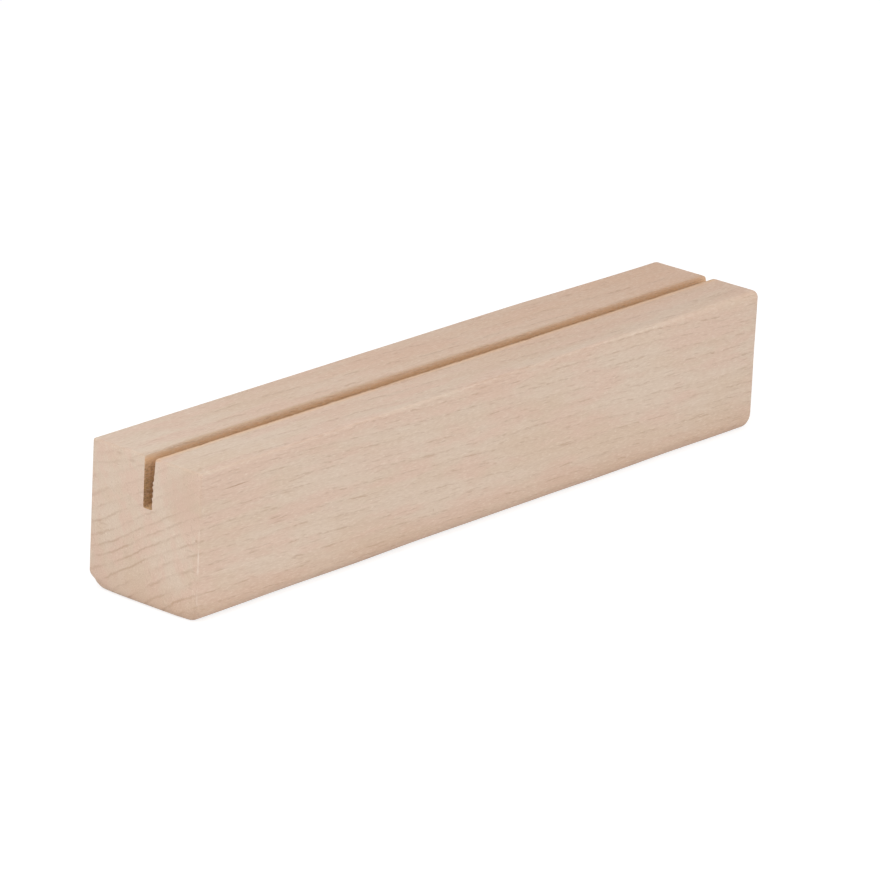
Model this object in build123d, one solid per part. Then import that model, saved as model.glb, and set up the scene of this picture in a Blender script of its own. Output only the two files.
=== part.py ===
from build123d import *
import os

# Wooden photo block: one piece of hardwood with a sawn slot that holds a photo upright.
# Lengths are in millimetres. X runs along the slot, -Y is the front and +Z is up.
# The origin is the middle of the face that the block stands on.

# Overall size of the block
length = 152.0
depth = 25.0
height = 27.0

# Roundings of the edges. The top edges are the crispest. The end edges are rounder, and the
# long bottom edges are the roundest, so each set runs smoothly round the corners of the last.
top_edge_radius = 0.9
end_edge_gain = 0.2
bottom_edge_gain = 1.8
end_edge_radius = top_edge_radius + end_edge_gain
bottom_edge_radius = end_edge_radius + bottom_edge_gain

# Slot, sawn from end to end a little in front of the middle. Its back wall is plumb, and its
# front wall leans in, so that the slot grips a thin card near its floor.
slot_depth = 9.3
slot_mouth_width = 2.5
slot_floor_width = 2.0
slot_back_wall_offset = 0.4
slot_floor_corner_radius = 0.35

# How far a cut runs past the wood
overrun = 2.0


def sawn_blank():
    """Square-edged piece, standing on the origin plane."""
    return Box(length, depth, height, align=(Align.CENTER, Align.CENTER, Align.MIN))


def long_bottom_edges(block):
    """The two edges along X that the block stands between."""
    return block.edges().filter_by(Axis.X).group_by(Axis.Z)[0]


def end_side_edges(block):
    """The sides and the bottom of both end faces, without their top edges."""
    ends = block.faces().filter_by(Axis.X)
    return [edge for end in ends for edge in end.edges().sort_by(Axis.Z)[:-1]]


def top_edges(block):
    """The whole rim of the top face."""
    return block.faces().sort_by(Axis.Z)[-1].edges()


def eased_blank():
    """Blank with its edges rounded, the roundest set first."""
    block = sawn_blank()
    block = fillet(long_bottom_edges(block), bottom_edge_radius)
    block = fillet(end_side_edges(block), end_edge_radius)
    return fillet(top_edges(block), top_edge_radius)


def slot_section():
    """Section of the saw cut, seen along X, with its corners eased at the floor."""
    floor = height - slot_depth
    back = slot_back_wall_offset
    outline = Polyline(
        (back, floor),
        (back, height + overrun),
        (back - slot_mouth_width, height + overrun),
        (back - slot_mouth_width, height),
        (back - slot_floor_width, floor),
        close=True,
    )
    section = make_face(outline)
    floor_corners = section.vertices().group_by(Axis.Y)[0]
    return fillet(floor_corners, slot_floor_corner_radius)


def slot_cut():
    """The saw cut as a solid, longer than the block at both ends."""
    return extrude(Plane.YZ * slot_section(), amount=length / 2 + overrun, both=True)


def holder_block():
    """The finished piece."""
    return eased_blank() - slot_cut()


os.makedirs("parts", exist_ok=True)
export_step(holder_block(), "parts/holder_block.step")
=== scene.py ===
import itertools
import math
from typing import NamedTuple

import bpy
import numpy as np
from bpy.props import FloatProperty, FloatVectorProperty, PointerProperty
from mathutils import Matrix, Vector


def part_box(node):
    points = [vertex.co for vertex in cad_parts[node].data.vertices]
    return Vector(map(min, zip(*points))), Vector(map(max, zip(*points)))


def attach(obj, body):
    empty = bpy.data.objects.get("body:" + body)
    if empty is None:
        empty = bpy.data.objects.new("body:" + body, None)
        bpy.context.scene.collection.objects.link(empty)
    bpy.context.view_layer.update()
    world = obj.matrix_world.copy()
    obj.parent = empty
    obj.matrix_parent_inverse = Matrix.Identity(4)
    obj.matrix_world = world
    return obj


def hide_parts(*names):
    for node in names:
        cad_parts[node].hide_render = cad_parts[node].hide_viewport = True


bl_info = {
    "name": "Wooden Photo Block",
    "version": (1, 0, 0),
    "blender": (4, 5, 0),
    "location": "3D View > Sidebar > Photo Block",
    "description": "Builds a beech block with a sawn slot that holds a photo upright, and a plain studio",
    "category": "Object",
}

# Lengths are in metres, in the frame of the CAD model: X along the slot, -Y to the front, +Z up.
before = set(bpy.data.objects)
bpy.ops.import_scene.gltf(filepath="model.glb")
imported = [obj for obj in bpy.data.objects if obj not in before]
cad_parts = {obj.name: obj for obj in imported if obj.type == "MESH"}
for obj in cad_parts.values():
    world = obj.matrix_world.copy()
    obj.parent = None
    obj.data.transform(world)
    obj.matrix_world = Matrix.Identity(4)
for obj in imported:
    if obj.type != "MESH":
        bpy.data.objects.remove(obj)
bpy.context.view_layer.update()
NODE = "holder_block"
LOW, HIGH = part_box(NODE)
MIDDLE = (LOW + HIGH) / 2
HALF = (HIGH - LOW) / 2
MM = 0.001
TINY = 1e-9

# Shaping of the mesh. Soft lumps come in layers, each with its strength, the size of its lumps along X,
# Y and Z, and its seed. Along an axis where that size is EVEN, nothing changes within the block.
EVEN = 1
EDGE_LUMPS = ((1.0, (17 * MM, 9 * MM, 8 * MM), 3),)
FRONT_RIM_LUMPS = ((1.0, (2.3 * MM, EVEN, EVEN), 11), (0.6, (0.9 * MM, EVEN, EVEN), 20))
BACK_RIM_LUMPS = ((1.0, (2.3 * MM, EVEN, EVEN), 12), (0.6, (0.9 * MM, EVEN, EVEN), 21))
FIBRE_LUMPS = ((0.9, (EVEN, EVEN, 0.30 * MM), 21), (0.4, (EVEN, EVEN, 0.65 * MM), 22))
SANDING_LUMPS = ((0.65, (26 * MM, 7 * MM, 7 * MM), 31), (0.35, (9 * MM, 3 * MM, 3 * MM), 32))
WORN_AND_LIT_LUMPS = ((0.85, (3.0 * MM, EVEN, 1.1 * MM), 41),)

# The foot's rounding takes over from the upright edges between these shares of the bottom radius
FOOT_BLEND_SHARES = (0.3, 1.1)

# Nicks: how far they reach from the slot's edge, how wide they are for their depth, and how high a
# lump has to be to break out
NICK_REACH = 0.25 * MM
NICK_WIDTH_SHARE = 0.6
NICK_LEAST = 0.5

# Torn fibres: how near the wall a point is that moves with them, how far they run along the slot, how
# much their lumps are raised, and the shares of the slot's height over which they start and stop
FIBRE_REACH = 0.20 * MM
FIBRE_RUN = 0.45 * MM
FIBRE_RAISE = 0.1
FIBRE_START_SHARES = (0.02, 0.15)
FIBRE_STOP_SHARES = (0.72, 0.95)

# Sanding moves a point off each face that it lies this close to
FACE_SKIN = 0.01 * MM

# Pale edge lines, partly rubbed wood and partly painted highlight: where they start and stop on the near
# upright edge, where they start on the front's top edge and how strong they are there, where the painted
# shade on that edge stops, and how strong the pale lines are on average
UPRIGHT_WORN_AND_LIT_STARTS = (1.5 * MM, 4 * MM)
UPRIGHT_WORN_AND_LIT_STOPS = (16 * MM, 20 * MM)
TOP_WORN_AND_LIT_STARTS = (-20 * MM, 50 * MM)
TOP_WORN_AND_LIT_SHARE = 0.28
TOP_EDGE_SHADE_STOPS = (-40 * MM, 0)
WORN_AND_LIT_MEAN = 0.62

# Faces that meet at more than this angle are shaded apart
SHARP_ANGLE = math.radians(55)

# The wood is drawn in millimetres. These are the block's faces in them.
NEAR_END = round(LOW.x / MM, 3)
FAR_END = round(HIGH.x / MM, 3)
FRONT = round(LOW.y / MM, 3)
TOP = round(HIGH.z / MM, 3)


class Figure(NamedTuple):
    """A layer of the wood's figure, drawn by noise: the size of its lumps in millimetres along the
    grain, along the rings and across the rings, the noise's detail and roughness, the noise at which
    none and all of the layer shows, and how far its pattern is moved."""

    cell: tuple
    detail: float = 3.0
    roughness: float = 0.5
    none: float = 0.0
    full: float = 1.0
    shift: tuple = ()


class Spindles(NamedTuple):
    """Scattered spindles in the wood: the size of the cell that each lies in, as a figure has it, the
    least and greatest half width as shares of the cell, and how far their pattern is moved."""

    cell: tuple
    least_share: float
    most_share: float
    shift: tuple


PATCH = Figure((30, 6, 7), 4.0, 0.6, 0.40, 0.64)
BLUSH = Figure((19, 4, 5), 4.0, 0.6, 0.42, 0.62, (40, 13, 5))
RING_WAVE = Figure((90, 26, 8), 2.0)
RING_RAGGED = Figure((2.6, 0.9, 0.9), 2.0)
RING_BREAK = Figure((5.5, 4.5, 1.0), none=0.46, full=0.58)
RING_GNAW = Figure((1.7, 0.3, 0.3), 2.0, none=0.38, full=0.56)
RING_FADE = Figure((6, 5.0, 1.6), 4.0, 0.6, 0.36, 0.66)
FIBRE = Figure((1.1, 0.21, 0.21), roughness=0.6)
STREAK = Figure((3.8, 0.32, 0.32), 2.0, none=0.60, full=0.69)
STREAK_CROWD = Figure((14, 2.4, 2.4), none=0.35, full=0.65)
FLECK_RAGGED = Figure((0.5, 0.28, 0.28), none=0.35, full=0.60)
PORE = Figure((0.9, 0.10, 0.10), 2.0)
FUZZ = Figure((0.8, 0.45, 0.45), roughness=0.7)
WANDER = Figure((60, 16, 16), 2.0)
DASH = Spindles((13, 0.85, 0.85), 0.03, 0.22, (3.1, 7.7, 1.3))
RAY = Spindles((1.5, 0.55, 4.0), 0.02, 0.30, (5.7, 1.9, 8.3))
FLECK = Spindles((2.1, 1.0, 1.0), 0.01, 0.22, (9.2, 2.4, 6.6))

# How far the grain wanders, in millimetres, and the middle of the noise that it follows
WANDER_REACH = (3.0, 3.0, 3.0)
NOISE_MIDDLE = (0.5, 0.5, 0.5)

# How much of the rosy patches shows at most, and of the streaks and flecks where they are sparse
BLUSH_SHARE = 0.75
CROWD_SHARE = 0.35

# Shares of a ring's width: where its dark line lies, how far from the middle of the line it starts and
# is full on the sides and on the ends, and where the wood deepens towards it and clears behind it
RING_LINE_SHARE = 0.85
SIDE_LINE_SHARES = (0.09, 0.02)
END_LINE_SHARES = (0.19, 0.0)
DEEPENING_SHARES = (0.25, RING_LINE_SHARE)
CLEARING_SHARES = (0.97, RING_LINE_SHARE)

# Parts of the noise: where the finest fibres darken, pale and roughen the wood, where the sawn walls
# are burnt and where they are clean, and how the patches vary the tints of the foot and of the top
DARK_FIBRES = (0.50, 0.70)
PALE_FIBRES = (0.50, 0.30)
ROUGH_FIBRES = (0.30, 0.70)
BURNT_FUZZ = (0.48, 0.62)
CLEAN_FUZZ = (0.48, 0.34)
UNEVEN_TINT = (0.25, 0.60, 0.7, 1.1)

# Changes across the block: the places in millimetres where each starts and where it ends, and then,
# where these aren't 0 and 1, how much of it shows at both.
# Up the block: the warmer wood of the top, the tints at the slot's rims, the rings of the end faces, and
# the walls of the slot, where they are browned, where they darken towards the floor, partly browner sawn
# wood and partly painted shade, and where they are mottled
WARM_TOP = (TOP - 4.0, TOP - 1.0)
RIM_TOP = (TOP - 0.6, TOP - 0.2)
END_RINGS = (TOP - 4.0, TOP - 15.0, 0.35, 1.0)
WALL_BROWNED = (TOP - 0.1, TOP - 1.0)
WALL_DARKENED = (TOP - 0.2, TOP - 6.0)
WALL_MOTTLED = (TOP - 1.0, TOP - 3.0)

# From the front to the back: the browner foot, partly browner wood and partly painted shade near the
# floor, which is brownest in front, and the warmer top
BROWN_FRONT = (2.0, -11.0, 0.60, 1.0)
WARM_BACK = (-9.0, -2.0, 0.35, 1.0)

# Along the block: the end grain, out from the middle, the warmer top, which rises in two steps, and
# the stain in front of the slot, behind it, and where that behind it starts
END_GRAIN = (FAR_END - 1.5, FAR_END - 0.5)
WARM_NEAR = (-65.0, 0.0, 0.0, 0.5)
WARM_FAR = (10.0, 65.0, 0.0, 0.3)
STAIN_BEFORE = (-60.0, -10.0, 0.30, 0.85)
STAIN_BEHIND = (-50.0, 50.0, 0.75, 0.35)
STAIN_STARTS = (NEAR_END, NEAR_END + 14.0, 0.1, 1.0)

# Widths in millimetres of the stain in front of the slot and behind it, and of the warm lip
STAIN_BEFORE_WIDTH = 0.60
STAIN_BEHIND_WIDTH = 1.1
LIP_WIDTH = 1.4

# How far the saw browned the slot's walls, which towards the slot's floor is partly painted shade, and the
# share of that which shows at their very top
SAWN_WARMTH = 0.9
WALL_TOP_SHARE = 0.4

# How strongly pores, sawn fuzz and saw marks stand in the relief, and how strong the relief is
PORE_RELIEF = 0.5
FUZZ_RELIEF = 3.0
SAW_RELIEF = 0.25
RELIEF_STRENGTH = 0.4

# Gloss of the wood, and how far its roughness goes up and down
GLOSS = 0.35
ROUGHNESS_SWING = 0.07

# Share of a mark's size over which it shows in full
MARK_CORE_SHARE = 0.25

# Marks that this block has: middle and half sizes in millimetres, then how strongly each shows. Two dark
# ones near the top of the near end are pits whose shade is painted in.
DARK_MARKS = (
    ((-67.2, FRONT, 23.0), (4.4, 0.5, 0.17), 0.75),
    ((-57.1, FRONT, 14.8), (2.5, 0.5, 0.16), 0.55),
    ((-15.4, FRONT, 6.0), (0.25, 0.5, 0.42), 0.40),
    ((NEAR_END, -11.9, 15.0), (0.8, 0.40, 0.50), 0.45),
    ((NEAR_END, -10.7, 17.0), (0.8, 0.25, 0.90), 0.25),
    ((NEAR_END, -11.2, 18.6), (0.8, 0.45, 0.25), 0.32),
    ((NEAR_END, -10.4, 12.9), (0.8, 0.90, 0.22), 0.30),
    ((NEAR_END, -9.9, 15.6), (0.8, 0.80, 0.20), 0.28),
    ((NEAR_END, -11.4, 9.4), (0.8, 0.70, 0.24), 0.30),
    ((NEAR_END, -10.8, 6.3), (0.8, 0.80, 0.20), 0.26),
    ((NEAR_END, 9.4, 12.4), (0.8, 1.60, 0.24), 0.24),
    # Two small pits, sunk in the relief, with their shade painted in
    ((NEAR_END, 6.2, 25.9), (0.8, 0.95, 0.40), 0.28),
    ((NEAR_END, 3.2, 25.3), (0.8, 1.00, 0.45), 0.32),
    ((NEAR_END, -8.5, 21.5), (1.2, 6.5, 7.0), 0.13),
)
ROSY_MARKS = (
    ((NEAR_END, -9.2, 21.6), (1.0, 2.9, 2.3), 0.55),
    ((NEAR_END, 10.5, 3.0), (2.0, 4.0, 3.5), 0.60),
    ((-30.0, FRONT, 19.0), (12.0, 2.0, 3.0), 0.35),
)

# The studio: white, and the width of the camera's sensor in millimetres
WHITE = (1.0, 1.0, 1.0, 1.0)
SENSOR_WIDTH = 36


class BlockSizes(bpy.types.PropertyGroup):
    """Sizes of the block that the frame doesn't give, and how its surface is worn"""

    slot_depth: FloatProperty(
        name="Slot depth", description="From the top face down to the slot's floor",
        default=9.3 * MM, unit="LENGTH")
    slot_mouth: FloatProperty(
        name="Slot width at mouth", description="Width of the slot at the top face",
        default=2.5 * MM, unit="LENGTH")
    slot_floor: FloatProperty(
        name="Slot width at floor", description="Width of the slot at its floor",
        default=2.0 * MM, unit="LENGTH")
    slot_back: FloatProperty(
        name="Slot's back wall", description="How far behind the middle the plumb back wall stands",
        default=0.4 * MM, unit="LENGTH")
    slot_floor_radius: FloatProperty(
        name="Slot floor radius", description="Rounding where the slot's walls meet its floor",
        default=0.35 * MM, unit="LENGTH")
    top_radius: FloatProperty(
        name="Top edge radius", description="Rounding of the rim of the top face",
        default=0.45 * MM, unit="LENGTH")
    upright_radius: FloatProperty(
        name="Upright edge radius", description="Rounding of the four upright edges, the crispest of all",
        default=0.40 * MM, unit="LENGTH")
    foot_radius: FloatProperty(
        name="End foot radius", description="Rounding of the bottom edges of the end faces",
        default=1.6 * MM, unit="LENGTH")
    bottom_radius: FloatProperty(
        name="Bottom edge radius", description="Rounding of the two long bottom edges",
        default=2.9 * MM, unit="LENGTH")
    far_gain: FloatProperty(
        name="Far edge gain", description="How much rounder the far end's edges are",
        default=0.9 * MM, unit="LENGTH")
    far_length: FloatProperty(
        name="Far edge length", description="How long before the far end the edges grow rounder",
        default=50 * MM, unit="LENGTH")
    edge_step: FloatProperty(
        name="Mesh step at edges", description="Spacing of the mesh where faces meet",
        default=0.13 * MM, unit="LENGTH")
    long_step: FloatProperty(
        name="Mesh step along", description="Widest spacing of the mesh along the block",
        default=0.65 * MM, unit="LENGTH")
    face_step: FloatProperty(
        name="Mesh step across", description="Widest spacing of the mesh across the faces",
        default=1.0 * MM, unit="LENGTH")
    wall_step: FloatProperty(
        name="Mesh step down the slot", description="Widest spacing of the mesh down the slot's walls",
        default=0.21 * MM, unit="LENGTH")
    uneven_share: FloatProperty(
        name="Uneven edges", description="Share by which hand sanding varies an edge's radius",
        default=0.14, subtype="FACTOR")
    sanding_depth: FloatProperty(
        name="Sanding depth", description="Depth of the shallow hollows that sanding leaves",
        default=0.05 * MM, unit="LENGTH")
    slot_ease: FloatProperty(
        name="Slot edge easing", description="How far the slot's top edges are eased",
        default=0.05 * MM, unit="LENGTH")
    # Half width of the pale edge lines, partly rubbed wood and partly painted highlight, and of the
    # painted shade on the other near edges
    edge_line_width: FloatProperty(
        name="Edge wear width", description="Half width of the worn line along an edge",
        default=0.20 * MM, unit="LENGTH")
    nick_depth: FloatProperty(
        name="Nick depth", description="Depth of the nicks along the slot's top edges",
        default=0.09 * MM, unit="LENGTH")
    fibre_length: FloatProperty(
        name="Torn fibres", description="How far torn fibres stand into the slot at its near end",
        default=0.28 * MM, unit="LENGTH")


class BeechLook(bpy.types.PropertyGroup):
    """Colours and grain of the beech"""

    pale: FloatVectorProperty(
        name="Pale wood", description="The lightest, slightly grey wood",
        default=(0.674, 0.540, 0.430), subtype="COLOR")
    rose: FloatVectorProperty(
        name="Rose wood", description="The pinkish patches",
        default=(0.676, 0.488, 0.388), subtype="COLOR")
    tan: FloatVectorProperty(
        name="Tan wood", description="The slightly browner patches",
        default=(0.648, 0.500, 0.382), subtype="COLOR")
    # Brown is partly browner wood and partly painted shade along the foot, and painted shade on the other
    # near edges
    brown: FloatVectorProperty(
        name="Brown wood", description="The browner wood along the foot",
        default=(0.610, 0.430, 0.315), subtype="COLOR")
    warm: FloatVectorProperty(
        name="Warm wood", description="The warmer wood of the top, behind the slot and at the far end",
        default=(0.655, 0.438, 0.312), subtype="COLOR")
    line: FloatVectorProperty(
        name="Grain line", description="Streaks, rays and growth rings",
        default=(0.420, 0.255, 0.165), subtype="COLOR")
    # The fleck colour also paints the pale edge lines, which are partly painted highlight
    fleck: FloatVectorProperty(
        name="Light fleck", description="Pale fibres, worn edges and sanding dust in the pores",
        default=(0.800, 0.680, 0.580), subtype="COLOR")
    sawn: FloatVectorProperty(
        name="Sawn wood", description="The walls near the slot's mouth, warmed by the saw",
        default=(0.800, 0.510, 0.290), subtype="COLOR")
    stain: FloatVectorProperty(
        name="Saw stain", description="The top face where it meets the slot, browned by the saw",
        default=(0.505, 0.324, 0.194), subtype="COLOR")
    # Deep sawn wood is partly browner sawn wood and partly painted shade of the narrow slot
    deep: FloatVectorProperty(
        name="Deep sawn wood", description="The walls near the slot's floor, browned by the saw",
        default=(0.600, 0.375, 0.178), subtype="COLOR")
    burnt: FloatVectorProperty(
        name="Burnt wood", description="The darkest flecks on the walls of the slot",
        default=(0.310, 0.170, 0.080), subtype="COLOR")
    ring_spacing: FloatProperty(
        name="Ring spacing", description="Distance between growth rings",
        default=2.0 * MM, unit="LENGTH")
    ring_angle: FloatProperty(
        name="Ring angle", description="How steeply the rings rise towards the front, on the end faces",
        default=math.radians(29), unit="ROTATION")
    grain_angle: FloatProperty(
        name="Grain angle", description="How far the grain falls along the block",
        default=math.radians(2.5), unit="ROTATION")
    # The browner foot is partly browner wood and partly painted shade near the floor
    foot_height: FloatProperty(
        name="Brown foot", description="How far up the browner wood reaches",
        default=7.0 * MM, unit="LENGTH")
    ring_wave: FloatProperty(
        name="Ring wave", description="How far the rings swing, in rings", default=1.4)
    ring_ragged: FloatProperty(
        name="Ring raggedness", description="How ragged the rings are, in rings", default=0.30)
    side_ring: FloatProperty(
        name="Rings on the sides", description="How dark the rings are along the grain",
        default=0.42, subtype="FACTOR")
    end_ring: FloatProperty(
        name="Rings on the ends", description="How dark the rings are on the end faces",
        default=0.48, subtype="FACTOR")
    ring_shade: FloatProperty(
        name="Ring shade", description="How far the wood darkens towards each ring",
        default=0.06, subtype="FACTOR")
    streaks: FloatProperty(
        name="Streaks", description="How dark the fine streaks are", default=0.33, subtype="FACTOR")
    dashes: FloatProperty(
        name="Dashes", description="How dark the short dashes are", default=0.55, subtype="FACTOR")
    rays: FloatProperty(
        name="Rays", description="How dark the rays are on the end faces", default=0.25, subtype="FACTOR")
    flecks: FloatProperty(
        name="Flecks", description="How pale the flecks are", default=0.90, subtype="FACTOR")
    dark_fibres: FloatProperty(
        name="Dark fibres", description="How dark the finest fibres are", default=0.13, subtype="FACTOR")
    pale_fibres: FloatProperty(
        name="Pale fibres", description="How pale the finest fibres are", default=0.33, subtype="FACTOR")
    # The pale edge lines are partly rubbed wood and partly painted highlight
    worn_and_lit: FloatProperty(
        name="Worn and highlit edges", description="How pale the worn edges are", default=0.70, subtype="FACTOR")
    # Painted shade on the other near edges: the upper near upright edge, the front's top edge towards the
    # near end and the near end's top edge
    edge_shade: FloatProperty(
        name="Painted edge shade", description="How brown the other near edges are",
        default=0.35, subtype="FACTOR")
    lip: FloatProperty(
        name="Slot lip", description="How warm the top face is right in front of the slot",
        default=0.60, subtype="FACTOR")
    fuzz: FloatProperty(
        name="Saw fuzz", description="How mottled the sawn walls are", default=0.75, subtype="FACTOR")
    bump: FloatProperty(
        name="Grain depth", description="Depth of the grain's relief", default=0.12 * MM, unit="LENGTH")
    saw_pitch: FloatProperty(
        name="Saw mark pitch", description="Distance between the saw's marks on the walls of the slot",
        default=1.1 * MM, unit="LENGTH")
    roughness: FloatProperty(
        name="Roughness", description="Roughness of the sanded face",
        default=0.62, subtype="FACTOR")


class StudioLook(bpy.types.PropertyGroup):
    """Floor, light and camera"""

    floor_colour: FloatVectorProperty(
        name="Floor", description="Colour of the paper floor", default=(0.86, 0.86, 0.86), subtype="COLOR")
    floor_size: FloatProperty(
        name="Floor size", description="Side of the square floor", default=6.0, unit="LENGTH")
    floor_white: FloatProperty(
        name="Floor white", description="How white the camera sees the floor, where 1 is white",
        default=1.38)
    shadow_share: FloatProperty(
        name="Shadow", description="Share of the floor's own shade that the camera sees",
        default=0.45, subtype="FACTOR")
    shadow_reach: FloatProperty(
        name="Shadow reach", description="How far from the block the floor keeps its own shade",
        default=0.35, unit="LENGTH")
    sky_strength: FloatProperty(
        name="Sky strength", description="Light from all round", default=0.40)
    key_power: FloatProperty(
        name="Key power", description="Soft box beyond the near end", default=1.01, unit="POWER")
    key_place: FloatVectorProperty(
        name="Key place", description="Where the key soft box hangs",
        default=(-0.36, -0.05, 0.28), subtype="TRANSLATION")
    key_size: FloatProperty(
        name="Key size", description="Side of the key soft box", default=0.4, unit="LENGTH")
    fill_power: FloatProperty(
        name="Fill power", description="Soft box in front of the far end", default=3.2, unit="POWER")
    fill_place: FloatVectorProperty(
        name="Fill place", description="Where the fill soft box hangs",
        default=(0.35, -0.75, 0.40), subtype="TRANSLATION")
    fill_size: FloatProperty(
        name="Fill size", description="Side of the fill soft box", default=0.6, unit="LENGTH")
    overhead_power: FloatProperty(
        name="Overhead power", description="Soft box above the block", default=0.9, unit="POWER")
    overhead_place: FloatVectorProperty(
        name="Overhead place", description="Where the overhead soft box hangs",
        default=(0.0, 0.0, 0.8), subtype="TRANSLATION")
    overhead_size: FloatProperty(
        name="Overhead size", description="Side of the overhead soft box", default=0.5, unit="LENGTH")
    azimuth: FloatProperty(
        name="Camera azimuth", description="Angle of the camera round the block, from the front",
        default=math.radians(-50.29), unit="ROTATION")
    elevation: FloatProperty(
        name="Camera elevation", description="Angle of the camera above the floor",
        default=math.radians(19.11), unit="ROTATION")
    roll: FloatProperty(
        name="Camera roll", description="Turn of the camera about its own axis",
        default=math.radians(2.86), unit="ROTATION")
    distance: FloatProperty(
        name="Camera distance", description="From the camera to its target", default=1.0496, unit="LENGTH")
    target: FloatVectorProperty(
        name="Camera target", description="Point that the camera looks at",
        default=(0.0005, 0.0, 0.0120), subtype="TRANSLATION")
    lens: FloatProperty(
        name="Lens", description="Focal length in millimetres, on a sensor 36 mm wide",
        default=242.0, subtype="DISTANCE_CAMERA")


# The block's mesh


def stations(start, stop, fine, coarse):
    """Places from start to stop, fine apart at both and coarse apart between."""
    growth = 1.25
    places = [0.0]
    step = fine
    while places[-1] < (stop - start) / 2:
        places.append(places[-1] + step)
        step = min(step * growth, coarse)
    rim = np.array(places) * (stop - start) / 2 / places[-1]
    return np.concatenate([start + rim, (stop - rim)[-2::-1]])


def lattice(sizes):
    """Stations along X, Y and Z, and the cells between them that are wood."""
    slot_front = sizes.slot_back - sizes.slot_mouth
    slot_bottom = HIGH.z - sizes.slot_depth
    xs = stations(LOW.x, HIGH.x, sizes.edge_step, sizes.long_step)
    front = stations(LOW.y, slot_front, sizes.edge_step, sizes.face_step)
    slot = stations(slot_front, sizes.slot_back, sizes.edge_step, sizes.face_step)
    back = stations(sizes.slot_back, HIGH.y, sizes.edge_step, sizes.face_step)
    ys = np.concatenate([front[:-1], slot[:-1], back])
    below = stations(LOW.z, slot_bottom, sizes.edge_step, sizes.face_step)
    beside = stations(slot_bottom, HIGH.z, sizes.edge_step, sizes.wall_step)
    zs = np.concatenate([below[:-1], beside])
    wood = np.ones((len(xs) - 1, len(ys) - 1, len(zs) - 1), bool)
    wood[:, len(front) - 1:len(front) + len(slot) - 2, len(below) - 1:] = False
    return (xs, ys, zs), wood


def skin(wood):
    """Quads round the wooden cells, facing outwards: rows of four lattice points of three indices."""
    padded = np.pad(wood, 1).astype(int)
    quads = []
    for axis in range(3):
        change = np.diff(padded, axis=axis)
        one, two = np.eye(3, dtype=int)[[(axis + 1) % 3, (axis + 2) % 3]]
        corners = np.array([0 * one, one, one + two, two])
        for sign in (-1, 1):
            cells = np.argwhere(change == sign) - one - two
            quads.append(cells[:, None, :] + corners[None, ::-sign, :])
    return np.concatenate(quads)


def smooth_noise(points, cell, seed):
    """Soft random lumps from -1 to 1 at each point. cell is their size along X, Y and Z."""
    side = 61
    table = np.random.default_rng(seed).uniform(-1.0, 1.0, (side, side, side))
    scaled = points / np.array(cell)
    base = np.floor(scaled).astype(int)
    part = scaled - base
    part = part * part * (3 - 2 * part)
    total = np.zeros(len(points))
    for corner in itertools.product((0, 1), repeat=3):
        weight = np.where(corner, part, 1 - part).prod(axis=1)
        total += weight * table[tuple(((base + corner) % side).T)]
    return total


def lumps(points, layers):
    """Sum of layers of soft lumps, each with its strength, the size of its lumps and its seed."""
    return sum(strength * smooth_noise(points, cell, seed) for strength, cell, seed in layers)


def ramp(value, low, high):
    """0 below low, 1 above high and a smooth rise between."""
    share = np.clip((value - low) / (high - low), 0, 1)
    return share * share * (3 - 2 * share)


def nearness(gap, reach):
    """1 where the gap is 0, and softly down to about 0 at a gap of twice the reach."""
    return np.exp(-(gap / reach) ** 2)


def rounded(offset, half, radius):
    """Points of a box, given from its middle, as they lie once its edges are rounded."""
    away = np.abs(offset)
    core = np.minimum(away, half - radius)
    share = (away - core) / radius
    length = np.maximum(np.linalg.norm(share, axis=1), TINY)
    squeeze = share.max(axis=1) / length
    return np.sign(offset) * (core + radius * share * squeeze[:, None])


def lean_front_wall(points, sizes):
    """Leans the slot's front wall in towards its floor."""
    y = points[:, 1]
    rise = np.clip((points[:, 2] - HIGH.z + sizes.slot_depth) / sizes.slot_depth, 0, 1)
    width = sizes.slot_floor + (sizes.slot_mouth - sizes.slot_floor) * rise
    before = y <= sizes.slot_back - sizes.slot_mouth + TINY
    within = ~before & (y < sizes.slot_back)
    stretch = (sizes.slot_back - width - LOW.y) / (sizes.slot_back - sizes.slot_mouth - LOW.y)
    squeeze = width / sizes.slot_mouth
    points[:, 1] = np.where(before, LOW.y + (y - LOW.y) * stretch, y)
    points[:, 1] = np.where(within, sizes.slot_back + (y - sizes.slot_back) * squeeze, points[:, 1])


def round_outer_edges(points, sizes):
    """Rounds the block's edges, a little unevenly, as hand sanding does. Each edge takes its radius
    from the two axes that it lies across."""
    offset = points - np.array(MIDDLE)
    height = points[:, 2]
    bottom = sizes.bottom_radius
    near_top = ramp(height, HIGH.z - 2 * bottom, HIGH.z - sizes.top_radius)
    near_bottom = 1 - ramp(height, *(share * bottom for share in FOOT_BLEND_SHARES))
    near_side = ramp(np.abs(offset[:, 1]), HALF.y - 2 * bottom, HALF.y - bottom)
    far = sizes.far_gain * ramp(points[:, 0], HIGH.x - sizes.far_length, HIGH.x - bottom)
    upright = sizes.upright_radius + far
    top = sizes.top_radius + far
    foot = sizes.foot_radius
    along = upright + (top - upright) * near_top + (foot - upright) * near_bottom
    across = upright + (top - upright) * near_top + (bottom - upright) * near_bottom
    rising = np.where(offset[:, 2] > 0, top, foot + (bottom - foot) * near_side)
    uneven = 1 + sizes.uneven_share * lumps(points, EDGE_LUMPS)
    radius = np.stack([along, across, rising], axis=1) * uneven[:, None]
    points[:] = np.array(MIDDLE) + rounded(offset, np.array(HALF), radius)


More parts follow.
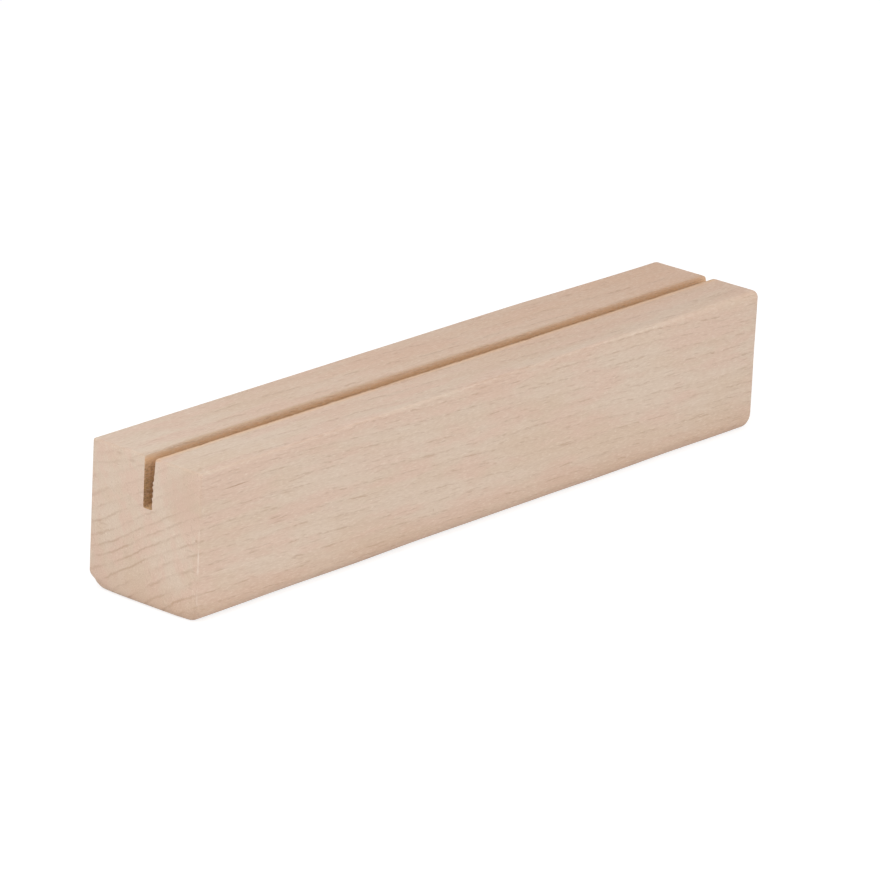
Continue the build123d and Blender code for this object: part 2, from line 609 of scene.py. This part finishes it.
def round_slot_floor(points, sizes):
    """Rounds the two corners along the slot's floor."""
    floor = HIGH.z - sizes.slot_depth
    centre = np.array([0, sizes.slot_back - sizes.slot_floor / 2, HIGH.z - sizes.slot_depth / 2])
    half = np.array([HALF.x, sizes.slot_floor / 2, sizes.slot_depth / 2])
    deep = (points[:, 2] > floor - TINY) & (points[:, 2] < (floor + centre[2]) / 2)
    on_slot = deep & (np.abs(points[:, 1] - centre[1]) <= half[1] + TINY)
    offset = (points[on_slot] - centre) * (0, 1, 1)
    eased = rounded(offset, half, np.full(offset.shape, sizes.slot_floor_radius))
    points[on_slot, 1:] = (centre + eased)[:, 1:]


def nick_slot_edges(points, sizes):
    """Eases both top edges of the slot, and breaks short splinters out of them along the grain."""
    front = sizes.slot_back - sizes.slot_mouth
    for place, side, layers in ((front, -1, FRONT_RIM_LUMPS), (sizes.slot_back, 1, BACK_RIM_LUMPS)):
        near = nearness(np.hypot(points[:, 1] - place, points[:, 2] - HIGH.z), NICK_REACH)
        nick = np.clip(lumps(points, layers) - NICK_LEAST, 0, 1) * sizes.nick_depth
        points[:, 2] -= near * (sizes.slot_ease + nick)
        points[:, 1] += near * side * NICK_WIDTH_SHARE * (sizes.slot_ease + nick)


def tear_fibres(points, sizes):
    """Stands torn fibres off the near end of the slot's front wall, into the slot."""
    wall = sizes.slot_back - sizes.slot_mouth
    rise = (points[:, 2] - HIGH.z + sizes.slot_depth) / sizes.slot_depth
    lean = wall + (1 - rise) * (sizes.slot_mouth - sizes.slot_floor)
    on_wall = nearness(points[:, 1] - lean, FIBRE_REACH)
    at_end = nearness(points[:, 0] - LOW.x, FIBRE_RUN)
    span = ramp(rise, *FIBRE_START_SHARES) * (1 - ramp(rise, *FIBRE_STOP_SHARES))
    torn = np.clip(lumps(points, FIBRE_LUMPS) + FIBRE_RAISE, 0, 1)
    points[:, 1] += on_wall * at_end * span * torn * sizes.fibre_length


def sand(points, flat, sizes):
    """Hollows the faces very slightly, and never proud of the CAD block."""
    inwards = np.array(MIDDLE) - flat
    facing = np.abs(inwards) > np.array(HALF) - FACE_SKIN
    move = np.where(facing, np.sign(inwards), 0)
    points += move * ((lumps(points, SANDING_LUMPS) + 1) / 2 * sizes.sanding_depth)[:, None]


def edge_wear_and_light(flat, sizes):
    """How pale each point is, partly rubbed wood and partly painted highlight: along the lower part of the
    near upright edge, and along the further part of the front's top edge. Below zero, painted shade that
    darkens the other near edges instead."""
    x, y, z = flat.T
    upright = nearness(np.hypot(x - LOW.x, y - LOW.y), sizes.edge_line_width)
    top = nearness(np.hypot(y - LOW.y, z - HIGH.z), sizes.edge_line_width)
    end = nearness(np.hypot(x - LOW.x, z - HIGH.z), sizes.edge_line_width)
    low = ramp(z, *UPRIGHT_WORN_AND_LIT_STARTS) * (1 - ramp(z, *UPRIGHT_WORN_AND_LIT_STOPS))
    far = ramp(x, *TOP_WORN_AND_LIT_STARTS)
    patchy = WORN_AND_LIT_MEAN + lumps(flat, WORN_AND_LIT_LUMPS)
    worn_and_lit = np.clip((upright * low + TOP_WORN_AND_LIT_SHARE * top * far) * patchy, 0, 1)
    # Painted shade on the other near edges
    edge_shade = upright * (1 - low) + top * (1 - ramp(x, *TOP_EDGE_SHADE_STOPS)) + end
    return worn_and_lit - np.clip(edge_shade, 0, 1)


def faces_in_slot(middles, sizes):
    """Which faces are the slot's walls and floor, from the middles of the unshaped faces."""
    x, y, z = middles.T
    inside = (y > sizes.slot_back - sizes.slot_mouth - TINY) & (y < sizes.slot_back + TINY)
    inside &= (z > HIGH.z - sizes.slot_depth - TINY) & (z < HIGH.z - TINY)
    return inside & (np.abs(x) < HIGH.x - TINY)


def block_mesh(sizes):
    """The block's surface as one mesh, its slot's faces with the second material."""
    places, wood = lattice(sizes)
    quads = skin(wood)
    counts = [len(stops) for stops in places]
    keys = np.ravel_multi_index(tuple(quads.reshape(-1, 3).T), counts)
    used, corners = np.unique(keys, return_inverse=True)
    corners = corners.reshape(-1, 4)
    index = np.unravel_index(used, counts)
    points = np.stack([places[axis][index[axis]] for axis in range(3)], axis=1)
    flat = points.copy()
    lean_front_wall(points, sizes)
    round_slot_floor(points, sizes)
    round_outer_edges(points, sizes)
    nick_slot_edges(points, sizes)
    tear_fibres(points, sizes)
    sand(points, flat, sizes)
    mesh = bpy.data.meshes.new("photo_block")
    mesh.from_pydata(points.tolist(), [], corners.tolist())
    mesh.attributes.new("wear_and_light", "FLOAT", "POINT").data.foreach_set("value", edge_wear_and_light(flat, sizes))
    in_slot = faces_in_slot(flat[corners].mean(axis=1), sizes)
    mesh.polygons.foreach_set("material_index", in_slot.astype(np.int32))
    mesh.polygons.foreach_set("use_smooth", np.ones(len(corners), bool))
    mesh.set_sharp_from_angle(angle=SHARP_ANGLE)
    mesh.update()
    return mesh


# Materials


def with_alpha(colour):
    """A colour as the shader's own sockets take it."""
    return (*colour, 1.0)


class Nodes:
    """A node tree, with a short call for each kind of node that it uses."""

    def __init__(self, tree):
        self.tree = tree
        tree.nodes.clear()

    def node(self, kind, inputs, **settings):
        """A new node. inputs gives each socket, by name or number, a value or a socket to link."""
        made = self.tree.nodes.new(kind)
        for name, value in settings.items():
            setattr(made, name, value)
        for key, value in inputs.items():
            if isinstance(value, bpy.types.NodeSocket):
                self.tree.links.new(value, made.inputs[key])
            else:
                made.inputs[key].default_value = value
        return made

    def math(self, operation, first, second=0.0, clamp=False):
        """A number worked out from two."""
        made = self.node("ShaderNodeMath", {0: first, 1: second}, operation=operation, use_clamp=clamp)
        return made.outputs[0]

    def times(self, first, *others):
        """The product of several numbers."""
        for other in others:
            first = self.math("MULTIPLY", first, other)
        return first

    def remap(self, value, low, high, to_low=0.0, to_high=1.0):
        """value taken from low..high to to_low..to_high, smoothly and no further."""
        inputs = {"Value": value, "From Min": low, "From Max": high, "To Min": to_low, "To Max": to_high}
        return self.node("ShaderNodeMapRange", inputs, interpolation_type="SMOOTHSTEP").outputs[0]

    def vector(self, operation, first, second=(0.0, 0.0, 0.0)):
        """A vector worked out from two, or the number that such an operation gives."""
        made = self.node("ShaderNodeVectorMath", {0: first, 1: second}, operation=operation)
        return made.outputs["Value" if operation in ("DOT_PRODUCT", "DISTANCE", "LENGTH") else "Vector"]

    def parts(self, vector):
        """The three numbers of a vector."""
        return tuple(self.node("ShaderNodeSeparateXYZ", {0: vector}).outputs)

    def fade(self, share, first, second):
        """A number that goes from first to second as share goes from 0 to 1."""
        return self.node("ShaderNodeMix", {0: share, 2: first, 3: second}, data_type="FLOAT").outputs[0]

    def mix(self, share, first, second):
        """A colour that goes from first to second as share goes from 0 to 1."""
        inputs = {0: share}
        for key, colour in ((6, first), (7, second)):
            inputs[key] = colour if isinstance(colour, bpy.types.NodeSocket) else with_alpha(colour)
        return self.node("ShaderNodeMix", inputs, data_type="RGBA").outputs[2]

    def noise(self, places, figure, output=0):
        """The noise of a figure, round 0.5. Its output "Color" holds three such numbers."""
        if figure.shift:
            places = self.vector("ADD", places, figure.shift)
        inputs = {
            "Vector": self.vector("DIVIDE", places, figure.cell), "Scale": 1.0,
            "Detail": figure.detail, "Roughness": figure.roughness}
        return self.node("ShaderNodeTexNoise", inputs).outputs[output]

    def shown(self, places, figure, least=0.0, most=1.0):
        """How much of a figure shows, from least to most."""
        return self.remap(self.noise(places, figure), figure.none, figure.full, least, most)

    def spindles(self, places, kind):
        """Scattered spindles, 1 in the middle and 0 outside, one to a cell, each of its own size."""
        moved = self.vector("ADD", places, kind.shift)
        inputs = {"Vector": self.vector("DIVIDE", moved, kind.cell), "Scale": 1.0}
        cells = self.node("ShaderNodeTexVoronoi", inputs, feature="F1")
        own = self.node("ShaderNodeSeparateColor", {0: cells.outputs["Color"]}).outputs[0]
        size = self.remap(own, 0.0, 1.0, kind.least_share, kind.most_share)
        return self.math("SUBTRACT", 1.0, self.math("DIVIDE", cells.outputs["Distance"], size), clamp=True)

    def spots(self, places, marks):
        """The marks of a list, each an egg-shaped place that fades outwards."""
        total = 0.0
        for middle, half_sizes, strength in marks:
            away = self.vector("DIVIDE", self.vector("SUBTRACT", places, middle), half_sizes)
            mark = self.remap(self.vector("LENGTH", away), 1.0, MARK_CORE_SHARE, 0.0, strength)
            total = self.math("MAXIMUM", total, mark)
        return total


def new_material(name):
    """An empty material, and its nodes."""
    material = bpy.data.materials.new(name)
    material.use_nodes = True
    return material, Nodes(material.node_tree)


def grain_axes(look):
    """Unit vectors along the grain, along the rings and across the rings."""
    along = Vector((math.cos(look.grain_angle), 0, -math.sin(look.grain_angle)))
    across = Vector((0, math.sin(look.ring_angle), math.cos(look.ring_angle)))
    across = (across - across.dot(along) * along).normalized()
    return along, across.cross(along), across


def wood_places(nodes, block_places, look):
    """Places in the wood in millimetres: along the grain, along the rings and across the rings."""
    shift = nodes.vector("SUBTRACT", nodes.noise(block_places, WANDER, "Color"), NOISE_MIDDLE)
    places = nodes.vector("ADD", block_places, nodes.vector("MULTIPLY", shift, WANDER_REACH))
    parts = [nodes.vector("DOT_PRODUCT", places, tuple(axis)) for axis in grain_axes(look)]
    return nodes.node("ShaderNodeCombineXYZ", dict(enumerate(parts))).outputs[0]


def ring_lines(nodes, height, wood, at_end, look):
    """Growth rings: a dark line where each ends, ragged and broken on the sides and softer and nearly
    whole on the ends, and the shade that deepens towards it."""
    turn = nodes.math("DIVIDE", nodes.parts(wood)[2], look.ring_spacing / MM)
    for figure, amount in ((RING_WAVE, look.ring_wave), (RING_RAGGED, look.ring_ragged)):
        turn = nodes.math("ADD", turn, nodes.times(nodes.noise(wood, figure), amount))
    share = nodes.math("FRACT", turn)
    gap = nodes.math("ABSOLUTE", nodes.math("SUBTRACT", share, RING_LINE_SHARE))
    broken, ragged, whole = (nodes.shown(wood, figure) for figure in (RING_BREAK, RING_GNAW, RING_FADE))
    sharp = nodes.times(nodes.remap(gap, *SIDE_LINE_SHARES), broken, ragged, look.side_ring)
    low = nodes.remap(height, *END_RINGS)
    soft = nodes.times(nodes.remap(gap, *END_LINE_SHARES), whole, low, look.end_ring)
    deepening = nodes.remap(share, *DEEPENING_SHARES)
    clearing = nodes.remap(share, *CLEARING_SHARES)
    return nodes.fade(at_end, sharp, soft), nodes.times(deepening, clearing, look.ring_shade)


def plain_wood(nodes, block_places, wood, look):
    """Colour of the wood before its grain: soft patches, a browner foot that is partly painted shade near
    the floor, and a warmer top.
    """
    x, y, z = nodes.parts(block_places)
    patches = nodes.noise(wood, PATCH)
    colour = nodes.mix(nodes.remap(patches, PATCH.none, PATCH.full), look.pale, look.tan)
    colour = nodes.mix(nodes.shown(wood, BLUSH, 0.0, BLUSH_SHARE), colour, look.rose)
    foot = nodes.remap(z, look.foot_height / MM, 0.0)
    front = nodes.remap(y, *BROWN_FRONT)
    top = nodes.remap(z, *WARM_TOP)
    far = nodes.math("ADD", nodes.remap(x, *WARM_NEAR), nodes.remap(x, *WARM_FAR))
    back = nodes.times(nodes.remap(y, *WARM_BACK), far)
    uneven = nodes.remap(patches, *UNEVEN_TINT)
    # Darker and browner towards the floor, most in front: partly browner wood and partly painted shade
    colour = nodes.mix(nodes.times(foot, front, uneven), colour, look.brown)
    colour = nodes.mix(nodes.times(top, back, uneven), colour, look.warm)
    return nodes.mix(nodes.spots(block_places, ROSY_MARKS), colour, look.rose)


def sawn_wall(nodes, height, fuzz, look):
    """Colour of the slot's walls: warm near the mouth and darker and browner below, partly browner sawn
    wood and partly painted shade, mottled by the saw.
    """
    # Darker towards the floor: partly browner sawn wood and partly painted shade of the slot
    wall = nodes.mix(nodes.remap(height, *WALL_DARKENED), look.sawn, look.deep)
    mottled = nodes.remap(height, *WALL_MOTTLED, 0.0, look.fuzz)
    for part_of_noise, tint in ((BURNT_FUZZ, look.burnt), (CLEAN_FUZZ, look.sawn)):
        wall = nodes.mix(nodes.times(nodes.remap(fuzz, *part_of_noise), mottled), wall, tint)
    return wall


def dark_lines(nodes, block_places, wood, crowd, look):
    """All that shows darker than the wood round it: streaks, dashes, rays, rings and the marks of this
    block. The second number is the rings' soft shade."""
    x, _, z = nodes.parts(block_places)
    at_end = nodes.remap(nodes.math("ABSOLUTE", x), *END_GRAIN)
    rings, shade = ring_lines(nodes, z, wood, at_end, look)
    lines = nodes.spots(block_places, DARK_MARKS)
    for drawn in (
        nodes.times(nodes.shown(wood, STREAK), crowd, look.streaks),
        nodes.times(nodes.spindles(wood, DASH), look.dashes),
        nodes.times(nodes.spindles(wood, RAY), at_end, look.rays),
        rings,
    ):
        lines = nodes.math("MAXIMUM", lines, drawn)
    return lines, shade


def slot_rims(nodes, block_places, sizes, look):
    """Tints of the top face on both sides of the slot, each with its share: the warm lip in front of
    the slot, and the saw's brown stain at both rims, which is wider behind the slot."""
    back = sizes.slot_back / MM
    lip = back - sizes.slot_mouth / MM
    x, y, z = nodes.parts(block_places)
    behind = nodes.times(nodes.remap(y, back + STAIN_BEHIND_WIDTH, back), nodes.remap(x, *STAIN_BEHIND))
    behind = nodes.times(behind, nodes.remap(x, *STAIN_STARTS))
    before = nodes.times(nodes.remap(y, lip - STAIN_BEFORE_WIDTH, lip), nodes.remap(x, *STAIN_BEFORE))
    stain = nodes.fade(nodes.remap(y, lip, back), before, behind)
    warm = nodes.times(nodes.remap(y, lip - LIP_WIDTH, lip), nodes.remap(y, back, lip))
    on_top = nodes.remap(z, *RIM_TOP)
    return (nodes.times(warm, on_top, look.lip), look.sawn), (nodes.times(stain, on_top), look.stain)


def relief(nodes, x, wood, fuzz, lines, warmth, look):
    """Relief of the surface: pores and dark lines, and on a sawn wall its fuzz and the saw's marks."""
    saw = nodes.math("SINE", nodes.times(x, 2 * math.pi * MM / look.saw_pitch))
    pores = nodes.fade(warmth, nodes.noise(wood, PORE), nodes.times(fuzz, FUZZ_RELIEF))
    height = nodes.math("SUBTRACT", nodes.times(pores, PORE_RELIEF), lines)
    height = nodes.math("ADD", height, nodes.times(saw, warmth * SAW_RELIEF))
    inputs = {"Strength": RELIEF_STRENGTH, "Distance": look.bump, "Height": height}
    return nodes.node("ShaderNodeBump", inputs).outputs[0]


def beech(name, look, sizes, warmth):
    """Beech, solid all through: patches, rings, streaks, rays, pores and pale flecks. warmth is how far a
    sawn wall is browned, which towards the slot's floor is partly painted shade, and 0 makes a sanded
    face."""
    material, nodes = new_material(name)
    coords = nodes.node("ShaderNodeTexCoord", {}).outputs["Object"]
    block_places = nodes.vector("DIVIDE", coords, (MM, MM, MM))
    x, _, z = nodes.parts(block_places)
    wood = wood_places(nodes, block_places, look)
    fuzz = nodes.noise(block_places, FUZZ)
    browned = nodes.remap(z, *WALL_BROWNED, WALL_TOP_SHARE * warmth, warmth)
    plain = plain_wood(nodes, block_places, wood, look)
    colour = nodes.mix(browned, plain, sawn_wall(nodes, z, fuzz, look))

    fibre = nodes.noise(wood, FIBRE)
    crowd = nodes.shown(wood, STREAK_CROWD, CROWD_SHARE)
    lines, shade = dark_lines(nodes, block_places, wood, crowd, look)
    ragged = nodes.shown(wood, FLECK_RAGGED)
    flecks = nodes.times(nodes.spindles(wood, FLECK), ragged, crowd, look.flecks)
    # The edge attribute: above zero pale lines, partly rubbed wood and partly painted highlight; below
    # zero painted shade
    wear_and_light = nodes.node("ShaderNodeAttribute", {}, attribute_name="wear_and_light").outputs["Fac"]
    worn_and_lit = nodes.times(nodes.remap(wear_and_light, 0.0, 1.0), look.worn_and_lit)
    edge_shade = nodes.times(nodes.remap(wear_and_light, 0.0, -1.0), look.edge_shade)
    rims = () if warmth else slot_rims(nodes, block_places, sizes, look)
    for share, tint in (
        (shade, look.line),
        (nodes.remap(fibre, *DARK_FIBRES, 0.0, look.dark_fibres), look.line),
        (nodes.remap(fibre, *PALE_FIBRES, 0.0, look.pale_fibres), look.fleck),
        (edge_shade, look.brown),
        *rims,
        (lines, look.line),
        (nodes.math("MAXIMUM", flecks, worn_and_lit), look.fleck),
    ):
        colour = nodes.mix(share, colour, tint)

    smooth, rough = look.roughness - ROUGHNESS_SWING, look.roughness + ROUGHNESS_SWING
    surface = nodes.node("ShaderNodeBsdfPrincipled", {
        "Base Color": colour,
        "Roughness": nodes.remap(fibre, *ROUGH_FIBRES, smooth, rough),
        "Normal": relief(nodes, x, wood, fuzz, lines, warmth, look),
        "Specular IOR Level": GLOSS,
    })
    nodes.node("ShaderNodeOutputMaterial", {"Surface": surface.outputs[0]})
    return material


def seen_directly(nodes):
    """1 for rays from the camera, and for those that gloss or glass sends on."""
    path = nodes.node("ShaderNodeLightPath", {})
    seen = nodes.math("MAXIMUM", path.outputs["Is Camera Ray"], path.outputs["Is Glossy Ray"])
    return nodes.math("MAXIMUM", seen, path.outputs["Is Transmission Ray"])


def paper(studio):
    """Pale paper. The camera sees it near white, with part of its own shade near the block, so that the
    shadow stays."""
    material, nodes = new_material("paper_floor")
    sheet = nodes.node("ShaderNodeBsdfDiffuse", {"Color": with_alpha(studio.floor_colour)})
    white = nodes.node("ShaderNodeEmission", {"Color": WHITE, "Strength": studio.floor_white})
    away = nodes.vector("LENGTH", nodes.node("ShaderNodeTexCoord", {}).outputs["Object"])
    own = nodes.remap(away, studio.shadow_reach, 2 * studio.shadow_reach, studio.shadow_share, 0.0)
    share = nodes.times(seen_directly(nodes), nodes.math("SUBTRACT", 1.0, own))
    shown = nodes.node("ShaderNodeMixShader", {0: share, 1: sheet.outputs[0], 2: white.outputs[0]})
    nodes.node("ShaderNodeOutputMaterial", {"Surface": shown.outputs[0]})
    return material


# The studio


def put_in_scene(thing):
    """Links an object to the scene, and gives it back."""
    bpy.context.scene.collection.objects.link(thing)
    return thing


def add_floor(studio):
    """A square of paper that the block stands on."""
    half = studio.floor_size / 2
    corners = [(-half, -half, 0), (half, -half, 0), (half, half, 0), (-half, half, 0)]
    mesh = bpy.data.meshes.new("floor")
    mesh.from_pydata(corners, [], [(0, 1, 2, 3)])
    mesh.materials.append(paper(studio))
    put_in_scene(bpy.data.objects.new("floor", mesh))


def add_sky(studio):
    """Even light from all round, which the camera sees as white."""
    world = bpy.data.worlds.new("studio")
    bpy.context.scene.world = world
    world.use_nodes = True
    nodes = Nodes(world.node_tree)
    light = nodes.node("ShaderNodeBackground", {"Color": WHITE, "Strength": studio.sky_strength})
    white = nodes.node("ShaderNodeBackground", {"Color": WHITE, "Strength": 1.0})
    seen = seen_directly(nodes)
    shown = nodes.node("ShaderNodeMixShader", {0: seen, 1: light.outputs[0], 2: white.outputs[0]})
    nodes.node("ShaderNodeOutputWorld", {"Surface": shown.outputs[0]})


def add_soft_box(name, power, place, side):
    """A square lamp that faces the middle of the block."""
    lamp = bpy.data.lights.new(name, "AREA")
    lamp.energy = power
    lamp.size = side
    thing = put_in_scene(bpy.data.objects.new(name, lamp))
    thing.location = place
    thing.rotation_euler = (MIDDLE - Vector(place)).to_track_quat("-Z", "Y").to_euler()


def add_camera(studio):
    """A camera that looks at its target, rolled a little."""
    cosine, sine = math.cos(studio.elevation), math.sin(studio.elevation)
    back = Vector((math.sin(studio.azimuth) * cosine, -math.cos(studio.azimuth) * cosine, sine))
    right = Vector((math.cos(studio.azimuth), math.sin(studio.azimuth), 0))
    turn = Matrix((right, back.cross(right), back)).transposed() @ Matrix.Rotation(studio.roll, 3, "Z")
    camera = bpy.data.cameras.new("camera")
    camera.lens = studio.lens
    camera.sensor_width = SENSOR_WIDTH
    thing = put_in_scene(bpy.data.objects.new("camera", camera))
    thing.matrix_world = Matrix.Translation(Vector(studio.target) + back * studio.distance) @ turn.to_4x4()
    bpy.context.scene.camera = thing


class PHOTOBLOCK_OT_add_block(bpy.types.Operator):
    """Builds the beech block over the CAD block"""

    bl_idname = "photo_block.add_block"
    bl_label = "Add Block"

    def execute(self, context):
        sizes = context.scene.photo_block_sizes
        look = context.scene.photo_block_beech
        mesh = block_mesh(sizes)
        mesh.materials.append(beech("sanded_beech", look, sizes, 0.0))
        mesh.materials.append(beech("sawn_beech", look, sizes, SAWN_WARMTH))
        block = put_in_scene(bpy.data.objects.new("beech_block", mesh))
        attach(block, "root")
        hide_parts(NODE)
        return {"FINISHED"}


class PHOTOBLOCK_OT_add_studio(bpy.types.Operator):
    """Adds the floor, the light and the camera"""

    bl_idname = "photo_block.add_studio"
    bl_label = "Add Studio"

    def execute(self, context):
        studio = context.scene.photo_block_studio
        context.scene.view_settings.view_transform = "Standard"
        add_floor(studio)
        add_sky(studio)
        add_soft_box("key", studio.key_power, studio.key_place, studio.key_size)
        add_soft_box("fill", studio.fill_power, studio.fill_place, studio.fill_size)
        add_soft_box("overhead", studio.overhead_power, studio.overhead_place, studio.overhead_size)
        add_camera(studio)
        return {"FINISHED"}


class PHOTOBLOCK_PT_panel(bpy.types.Panel):
    """Sizes and colours of the photo block, and the buttons that build it"""

    bl_label = "Photo Block"
    bl_idname = "PHOTOBLOCK_PT_panel"
    bl_space_type = "VIEW_3D"
    bl_region_type = "UI"
    bl_category = "Photo Block"

    def draw(self, context):
        for title, button, group in (
            ("Block", PHOTOBLOCK_OT_add_block, context.scene.photo_block_sizes),
            ("Beech", None, context.scene.photo_block_beech),
            ("Studio", PHOTOBLOCK_OT_add_studio, context.scene.photo_block_studio),
        ):
            box = self.layout.box()
            box.label(text=title)
            for name in group.__annotations__:
                box.prop(group, name)
            if button:
                box.operator(button.bl_idname)


CLASSES = (
    BlockSizes, BeechLook, StudioLook,
    PHOTOBLOCK_OT_add_block, PHOTOBLOCK_OT_add_studio, PHOTOBLOCK_PT_panel,
)


def register():
    for made in CLASSES:
        bpy.utils.register_class(made)
    bpy.types.Scene.photo_block_sizes = PointerProperty(type=BlockSizes)
    bpy.types.Scene.photo_block_beech = PointerProperty(type=BeechLook)
    bpy.types.Scene.photo_block_studio = PointerProperty(type=StudioLook)


def unregister():
    del bpy.types.Scene.photo_block_studio
    del bpy.types.Scene.photo_block_beech
    del bpy.types.Scene.photo_block_sizes
    for made in reversed(CLASSES):
        bpy.utils.unregister_class(made)


def main():
    """Builds it all."""
    register()
    bpy.ops.photo_block.add_block()
    bpy.ops.photo_block.add_studio()


if __name__ == "__main__":
    main()
